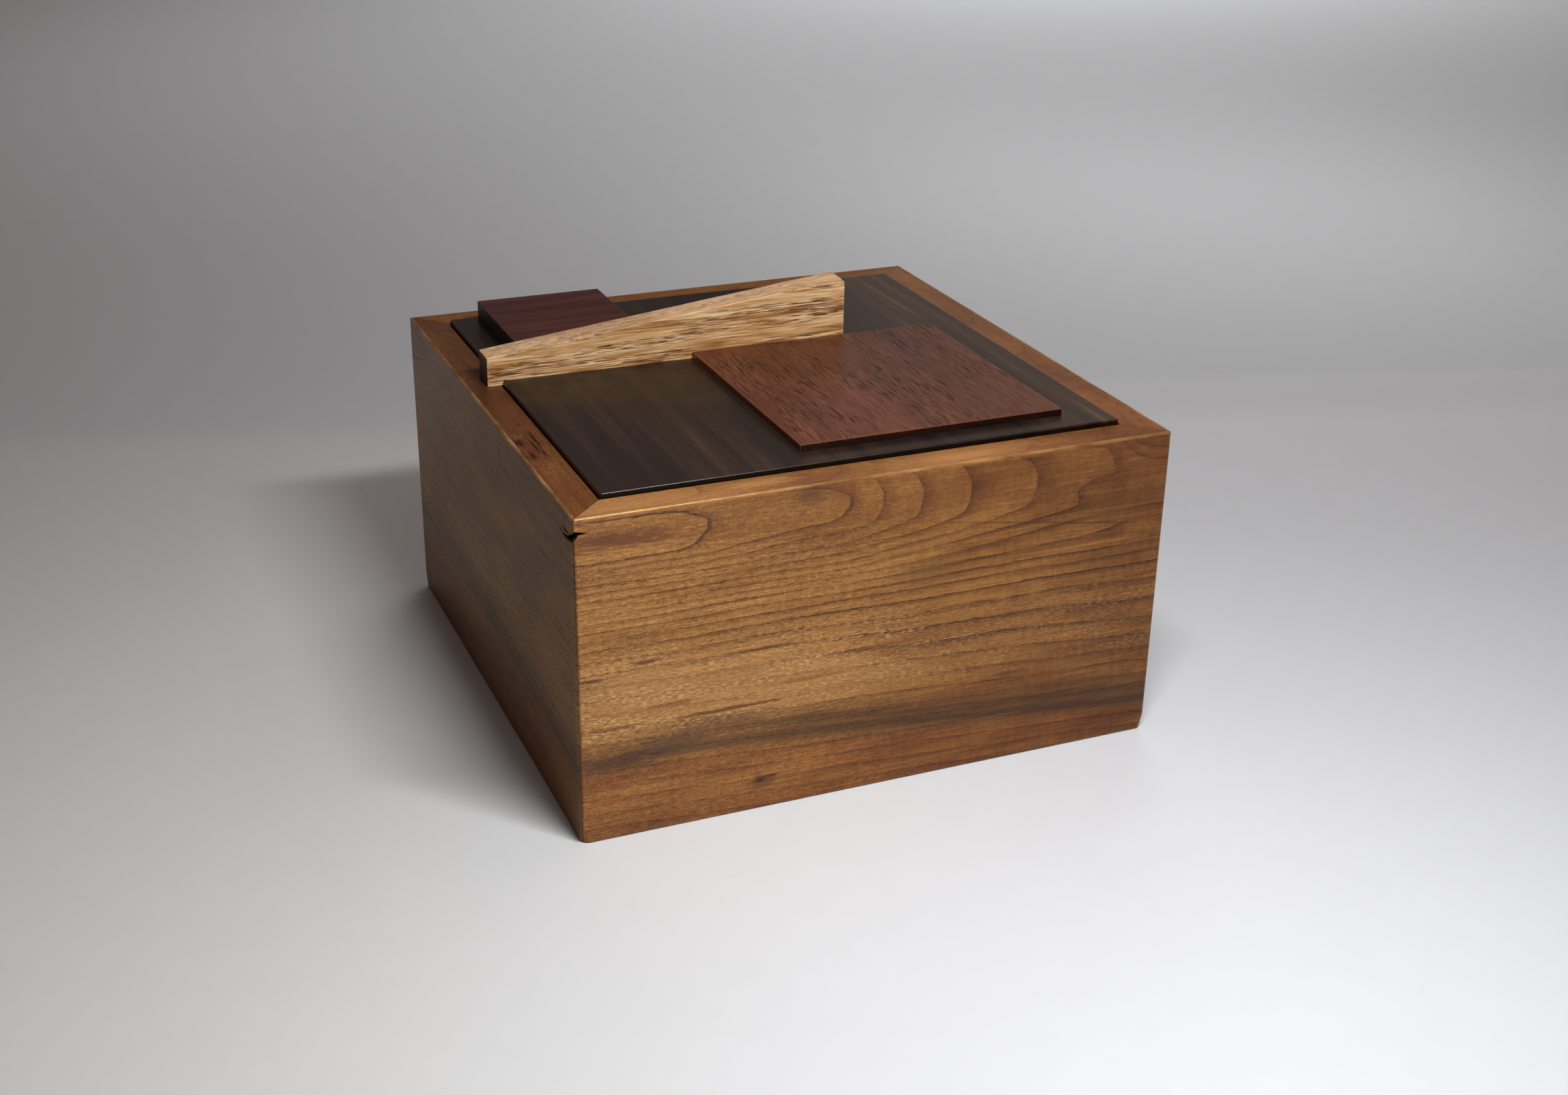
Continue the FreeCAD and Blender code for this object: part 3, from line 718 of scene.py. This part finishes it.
# %% Put the layers together
def sawn_wood(name, turn, place, colours, band, line, pore, painted_glint, finish, edges=None, stripes=None,
              clumps=None, paler_top_sheen=None):
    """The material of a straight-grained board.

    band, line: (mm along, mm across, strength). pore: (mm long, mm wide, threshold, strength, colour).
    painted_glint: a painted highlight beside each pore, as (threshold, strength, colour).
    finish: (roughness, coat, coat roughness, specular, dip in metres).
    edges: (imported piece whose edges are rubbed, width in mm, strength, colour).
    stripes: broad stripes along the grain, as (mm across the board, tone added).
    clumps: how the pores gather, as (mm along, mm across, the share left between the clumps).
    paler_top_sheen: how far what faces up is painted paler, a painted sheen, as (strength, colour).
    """
    roughness, coat, coat_roughness, specular, dip = finish
    material, tree, shader, board = new_wood(name, turn, place, coat, coat_roughness, specular)
    bands = strokes(tree, board, band[0], band[1], 3, 0.0, (0.3, 0.7), (-band[2], band[2]))
    lines = strokes(tree, board, line[0], line[1], 3, 5.0, (0.3, 0.7), (-line[2], line[2]))
    tone = chain(tree, "ADD", 0.5, bands, lines)
    if stripes:
        tone = chain(tree, "ADD", tone, striped(tree, board, stripes))
        tone = chain(tree, "SUBTRACT", tone, 0.5)
    count = len(colours) - 1
    colour = add(tree, "ValToRGB", {0: tone}, stops=[(i / count, shade) for i, shade in enumerate(colours)])
    pores, painted_glints = pores_and_painted_glints(tree, board, pore, painted_glint, clumps)
    colour = add(tree, "MixRGB", {0: pores, 1: colour, 2: linear(pore[-1])})
    drunk = drunk_ends(tree, turn)
    colour = add(tree, "MixRGB", {0: drunk, 1: colour, 2: linear(end_grain)}, blend_type="MULTIPLY")
    # where the wood drank the finish, fewer painted highlights are left
    fewer = add(tree, "Math", {0: drunk, 1: -0.6, 2: 1.0}, operation="MULTIPLY_ADD")
    painted_glints = chain(tree, "MULTIPLY", painted_glints, fewer)
    # painted highlights beside the pores
    colour = add(tree, "MixRGB", {0: painted_glints, 1: colour, 2: linear(painted_glint[2])})
    if paler_top_sheen:
        # painted sheen: what faces up is painted paler
        facing_up = add(tree, "SeparateXYZ", {0: add(tree, "TexCoord").outputs["Normal"]}).outputs[2]
        facing_up = add(tree, "MapRange", {0: facing_up, 1: 0.9, 2: 0.98, 3: 0, 4: paler_top_sheen[0]})
        colour = add(tree, "MixRGB", {0: facing_up, 1: colour, 2: linear(paler_top_sheen[1])})
    shine = add(tree, "MapRange", {0: pores, 1: 0, 2: 1, 3: roughness, 4: min(1, roughness + 0.35)})
    if edges:
        low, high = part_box(edges[0])
        rubbed = rubbed_edges(tree, low, high, edges[1])
        side_grain = add(tree, "MapRange", {0: drunk, 1: 0, 2: 0.4, 3: edges[2], 4: 0})
        worn = chain(tree, "MULTIPLY", rubbed, side_grain)
        colour = add(tree, "MixRGB", {0: worn, 1: colour, 2: linear(edges[3])})
        shine = add(tree, "Math", {0: rubbed, 1: -0.1, 2: shine}, operation="MULTIPLY_ADD")
    tree.links.new(colour.outputs[0], shader.inputs["Base Color"])
    tree.links.new(shine.outputs[0], shader.inputs["Roughness"])
    height = add(tree, "Math", {0: pores, 1: -1.0, 2: lines}, operation="MULTIPLY_ADD")
    bump = add(tree, "Bump", {"Height": height, "Strength": 0.5, "Distance": dip})
    tree.links.new(bump.outputs[0], shader.inputs["Normal"])
    return material


print("fibres of a board that lies forward run along", [round(v) for v in grain_of(grain_forward)])

# %% Dress the lid and what stands on it
lid_stripes = [
    (-90, 0.2), (-84, 0.25), (-78, 0.1), (-70, 0.2), (-62, 0.1), (-52, -0.15), (-40, 0.0), (-20, -0.15),
    (15, 0.02), (40, 0.02), (62, 0.05), (76, 0.0), (90, -0.05),
]
bar_stripes = [
    (0, 0.12), (3.5, 0.1), (7.5, 0.15), (9, -0.12), (11, -0.2), (13, 0.1), (16.5, 0.15), (18, -0.1),
    (21.5, -0.15), (23, 0.1), (24.6, 0.15),
]
bar_top = round(cad_bounds[1].z * mm_per_metre, 1)
tile_stripes = [(-82, -0.3), (-62, -0.25), (-35, -0.05), (20, 0.15)]
wear_in("lid_panel", sawn_wood(
    "varnished_ebony", grain_forward, (0, 0, 0),
    ["#0e0908", "#17100e", "#231813", "#34261c", "#66503c"],
    band=(160, 7, 0.2), line=(50, 0.8, 0.1),
    pore=(6, 0.3, 0.66, 0.6, "#050303"), painted_glint=(0.68, 0.25, "#4a3828"),
    finish=(0.42, 0.14, 0.1, 0.25, 0.00005), edges=("lid_panel", 1.2, 0.25, "#3d2a1e"), stripes=lid_stripes))
wear_in("handle_bar", sawn_wood(
    "waxed_oak", grain_upright, (3, bar_top, 0),
    ["#855428", "#c69058", "#e9b981", "#f8d8a6"],
    band=(50, 2, 0.3), line=(18, 0.6, 0.4),
    pore=(8, 0.32, 0.515, 0.95, "#623815"), painted_glint=(0.575, 0.9, "#ffe8c8"),
    finish=(0.55, 0.03, 0.2, 0.2, 0.0002), edges=("handle_bar", 1.0, 0.2, "#e8c692"), clumps=(45, 3.5, 0.2),
    paler_top_sheen=(0.38, "#dfb795"), stripes=bar_stripes))
wear_in("lid_tile", sawn_wood(
    "varnished_mahogany", grain_forward, (0, 0, 0),
    ["#3b1709", "#4e2110", "#5b2b19", "#6c3824"],
    band=(60, 12, 0.25), line=(24, 0.7, 0.15),
    pore=(8, 0.36, 0.55, 0.98, "#210a05"), painted_glint=(0.58, 0.4, "#96593b"),
    finish=(0.36, 0.1, 0.12, 0.35, 0.00015), edges=("lid_tile", 0.8, 0.3, "#8a4c30"), clumps=(40, 12, 0.4),
    stripes=tile_stripes))
wear_in("lid_block", sawn_wood(
    "oiled_rosewood", grain_across, (0, 0, 0),
    ["#2f1412", "#44221f", "#532b26", "#633530"],
    band=(80, 5, 0.35), line=(25, 0.6, 0.2),
    pore=(5, 0.35, 0.62, 0.7, "#150708"), painted_glint=(0.66, 0.3, "#7c4a40"),
    finish=(0.5, 0.05, 0.25, 0.25, 0.00012), edges=("lid_block", 0.8, 0.2, "#6c3c32"), clumps=(30, 8, 0.4)))
print("lid dressed")

# %% Dress the hidden woods
planed_walnut = ["#5b3c22", "#7a5431", "#8f653d", "#a67a4c"]
walnut_pores = (3.4, 0.3, 0.66, 0.5, "#3f2614")
walnut_painted_glints = (0.7, 0.2, "#c49a64")
planed_finish = (0.55, 0.1, 0.15, 0.5, 0.00015)
ledge_turns = {"front": grain_across, "rear": grain_across, "left": grain_forward, "right": grain_forward}
for side, turn in ledge_turns.items():
    ledge = side + "_ledge"
    # strips that face each other come from different places along the board
    wear_in(ledge, sawn_wood(
        "planed_walnut_" + ledge, turn, (len(ledge) * 7, 0, 0), planed_walnut,
        band=(60, 5, 0.3), line=(20, 0.6, 0.15),
        pore=walnut_pores, painted_glint=walnut_painted_glints, finish=planed_finish))
wear_in("bottom_panel", sawn_wood(
    "planed_walnut_bottom", grain_across, (40, 9, 0), planed_walnut,
    band=(90, 14, 0.35), line=(30, 1.2, 0.15),
    pore=walnut_pores, painted_glint=walnut_painted_glints, finish=planed_finish))
tongue_beech = sawn_wood(
    "planed_beech", grain_standing, (0, 0, 0), ["#b98a5c", "#cda273", "#d9b183", "#e2be94"],
    band=(40, 4, 0.3), line=(10, 0.5, 0.12), pore=(1.5, 0.2, 0.68, 0.4, "#9a6c42"),
    painted_glint=(0.72, 0.3, "#f0d4ae"), finish=(0.6, 0.0, 0.15, 0.5, 0.00015))
for tongue in [n for n in wood if n.endswith("_tongue")]:
    wear_in(tongue, tongue_beech)
print("hidden woods dressed")

# %% [markdown]
# ## Brass screws
#
# Small wood screws come turned from brass wire, so fine rings run round the shank and head, and the bright
# metal has dulled a little. A metal keeps the default index of refraction; its colour does the work.

# %% Make the brass
brass, brass_tree, brass_shader = new_material("turned_brass")
brass_shader.inputs["Metallic"].default_value = 1.0
brass_place = add(brass_tree, "TexCoord").outputs["Object"]
turning = add(brass_tree, "VectorMath", {0: brass_place, 1: (800, 800, 6000)}, operation="MULTIPLY")
turning = add(brass_tree, "TexNoise", {"Vector": turning, "Scale": 1.0, "Detail": 2.0})
tarnish = add(brass_tree, "TexNoise", {"Vector": brass_place, "Scale": 900.0, "Detail": 3.0})
brass_yellows = [(0.3, "#a07c34"), (0.6, "#d8b35c"), (0.8, "#e6c878")]
brass_colour = add(brass_tree, "ValToRGB", {0: tarnish}, stops=brass_yellows)
brass_tree.links.new(brass_colour.outputs[0], brass_shader.inputs["Base Color"])
brass_rough = add(brass_tree, "MapRange", {0: turning, 1: 0.3, 2: 0.7, 3: 0.22, 4: 0.42})
brass_tree.links.new(brass_rough.outputs[0], brass_shader.inputs["Roughness"])
brass_bump = add(brass_tree, "Bump", {"Height": turning, "Strength": 0.3, "Distance": 0.00003})
brass_tree.links.new(brass_bump.outputs[0], brass_shader.inputs["Normal"])
wear_in("bar_screws", brass)
print("brass on", len(wood["bar_screws"].data.polygons), "faces")

# %% [markdown]
# ## Floor
#
# The box stands on a sheet of pale paper, with a greyer sheet behind it. Paper is matt and faintly mottled.
# The join between the sheets is soft, a little behind the box and square to the line of sight. The near
# sheet is painted a touch warmer towards the left: painted warm light that the wood throws onto the paper.

# %% Lay the paper
floor_reach = 6.0
floor_mesh = bmesh.new()
bmesh.ops.create_grid(floor_mesh, x_segments=2, y_segments=2, size=floor_reach)
floor_data = bpy.data.meshes.new("floor")
floor_mesh.to_mesh(floor_data)
floor_mesh.free()
floor = bpy.data.objects.new("floor", floor_data)
bpy.context.scene.collection.objects.link(floor)
paper, paper_tree, paper_shader = new_material("matt_paper")
paper_shader.inputs["Roughness"].default_value = 0.7
paper_place = add(paper_tree, "TexCoord").outputs["Object"]
away_from_viewer = (0.2855, 0.9584, 0)
rightwards = (0.9584, -0.2855, 0)


def across_paper(direction, start, end, at_start, at_end):
    """A value that changes smoothly from start to end, which are metres along a direction on the floor."""
    reach = add(paper_tree, "VectorMath", {0: paper_place, 1: direction}, operation="DOT_PRODUCT")
    return add(paper_tree, "MapRange", {0: reach.outputs["Value"], 1: start, 2: end, 3: at_start, 4: at_end},
               interpolation_type="SMOOTHSTEP")


join = across_paper(away_from_viewer, 0.215, 0.26, 0, 1)
# painted warm light, strongest towards the left
warm_light_paint = across_paper(rightwards, -0.25, 0.05, 1, 0)
near_sheet = add(paper_tree, "MixRGB", {0: warm_light_paint, 1: linear("#e2e5e9"), 2: linear("#e4e4e2")})
both_sheets = add(paper_tree, "MixRGB", {0: join, 1: near_sheet, 2: linear("#dbdee1")})
pulp = add(paper_tree, "TexNoise", {"Vector": paper_place, "Scale": 60, "Detail": 4})
mottle = add(paper_tree, "MapRange", {0: pulp.outputs["Fac"], 1: 0.35, 2: 0.65, 3: 0, 4: 0.03})
paper_colour = add(paper_tree, "MixRGB", {0: mottle, 1: both_sheets, 2: linear("#b9b6b0")})
paper_tree.links.new(paper_colour.outputs[0], paper_shader.inputs["Base Color"])
floor_data.materials.append(paper)
print("paper laid")

# %% [markdown]
# ## Light
#
# The box stands in a small light tent: two short lamps hang in front of and above it. They are near, so the
# paper is brightest in front and the shade falls short behind the box. Weak, wide lamps over the paper keep
# it pale on every side, and polished wood doesn't mirror them. Two pale cloths hang behind the box, one of
# them farther to the right, and only show as sheens in the wood. The tent is turned a little from the box's
# own front, and the room adds a little warm light.

# %% Hang the lights
tent_turn = math.radians(-16.59)
tent_across = Vector((math.cos(tent_turn), math.sin(tent_turn), 0))
tent_deep = Vector((-math.sin(tent_turn), math.cos(tent_turn), 0))


def tent_light(name, across, deep, height, facing, size, watts, colour="#ffffff"):
    """A soft rectangle of light, placed in the tent and facing along a vector; the camera doesn't see it."""
    lamp = bpy.data.lights.new(name, "AREA")
    lamp.shape = "RECTANGLE"
    lamp.size, lamp.size_y = size
    lamp.energy = watts
    lamp.color = linear(colour)[:3]
    holder = bpy.data.objects.new(name, lamp)
    back = -facing.normalized()
    side = tent_across if abs(back.dot(tent_across)) < 0.9 else tent_deep
    side = (side - back * side.dot(back)).normalized()
    rise = back.cross(side)
    holder.rotation_euler = Matrix((side, rise, back)).transposed().to_euler()
    holder.location = tent_across * across + tent_deep * deep + Vector((0, 0, height))
    holder.visible_camera = False
    bpy.context.scene.collection.objects.link(holder)
    return holder


down = Vector((0, 0, -1))
tube = (0.18, 0.04)
tent_light("lamp_middle", 0.08, -0.27, 0.45, down, tube, 2.1)
tent_light("lamp_front", 0.06, -0.42, 0.56, down, tube, 0.36)
# name, place across and deep in the tent, height, watts; each lamp is as wide as it hangs high
sheet_lamps = [
    ("far_right", 0.62, 2.1, 0.8, 9.0), ("near_right", 0.38, 0.60, 0.42, 0.9),
    ("far_middle", -0.05, 1.12, 0.8, 1.75), ("middle_right", 0.45, 1.3, 0.8, 1.5),
    ("front_left", -0.6, -2.5, 0.8, 4.0), ("front_middle", 0.5, -2.3, 0.8, 4.0),
    ("front_right", 1.7, -1.5, 0.8, 4.0), ("left", -2.3, 0.2, 0.8, 2.5),
]
for name, across, deep, height, watts in sheet_lamps:
    sheet_lamp = tent_light("sheet_lamp_" + name, across, deep, height, down, (height, height), watts)
    sheet_lamp.visible_glossy = False
# the second cloth hangs behind the first: in one plane, they would hide each other in patches
cloth = tent_light("cloth_back", 0.08, 0.24, 0.25, -tent_deep, (0.9, 0.5), 0.16)
side_cloth = tent_light("cloth_right", 0.40, 0.29, 0.27, -tent_deep, (0.7, 0.54), 0.33, "#ffe2cf")
for glossy_only in (cloth, side_cloth):
    glossy_only.visible_diffuse = False

# %% Light the room
room_colour = "#e8946a"
room_strength = 0.04
room = bpy.data.worlds.new("room")
room.use_nodes = True
room_light = next(n for n in room.node_tree.nodes if n.type == "BACKGROUND")
room_light.inputs["Color"].default_value = linear(room_colour)
room_light.inputs["Strength"].default_value = room_strength
bpy.context.scene.world = room
bpy.context.scene.view_settings.view_transform = "Standard"
print("the room's light has a strength of", room_strength)
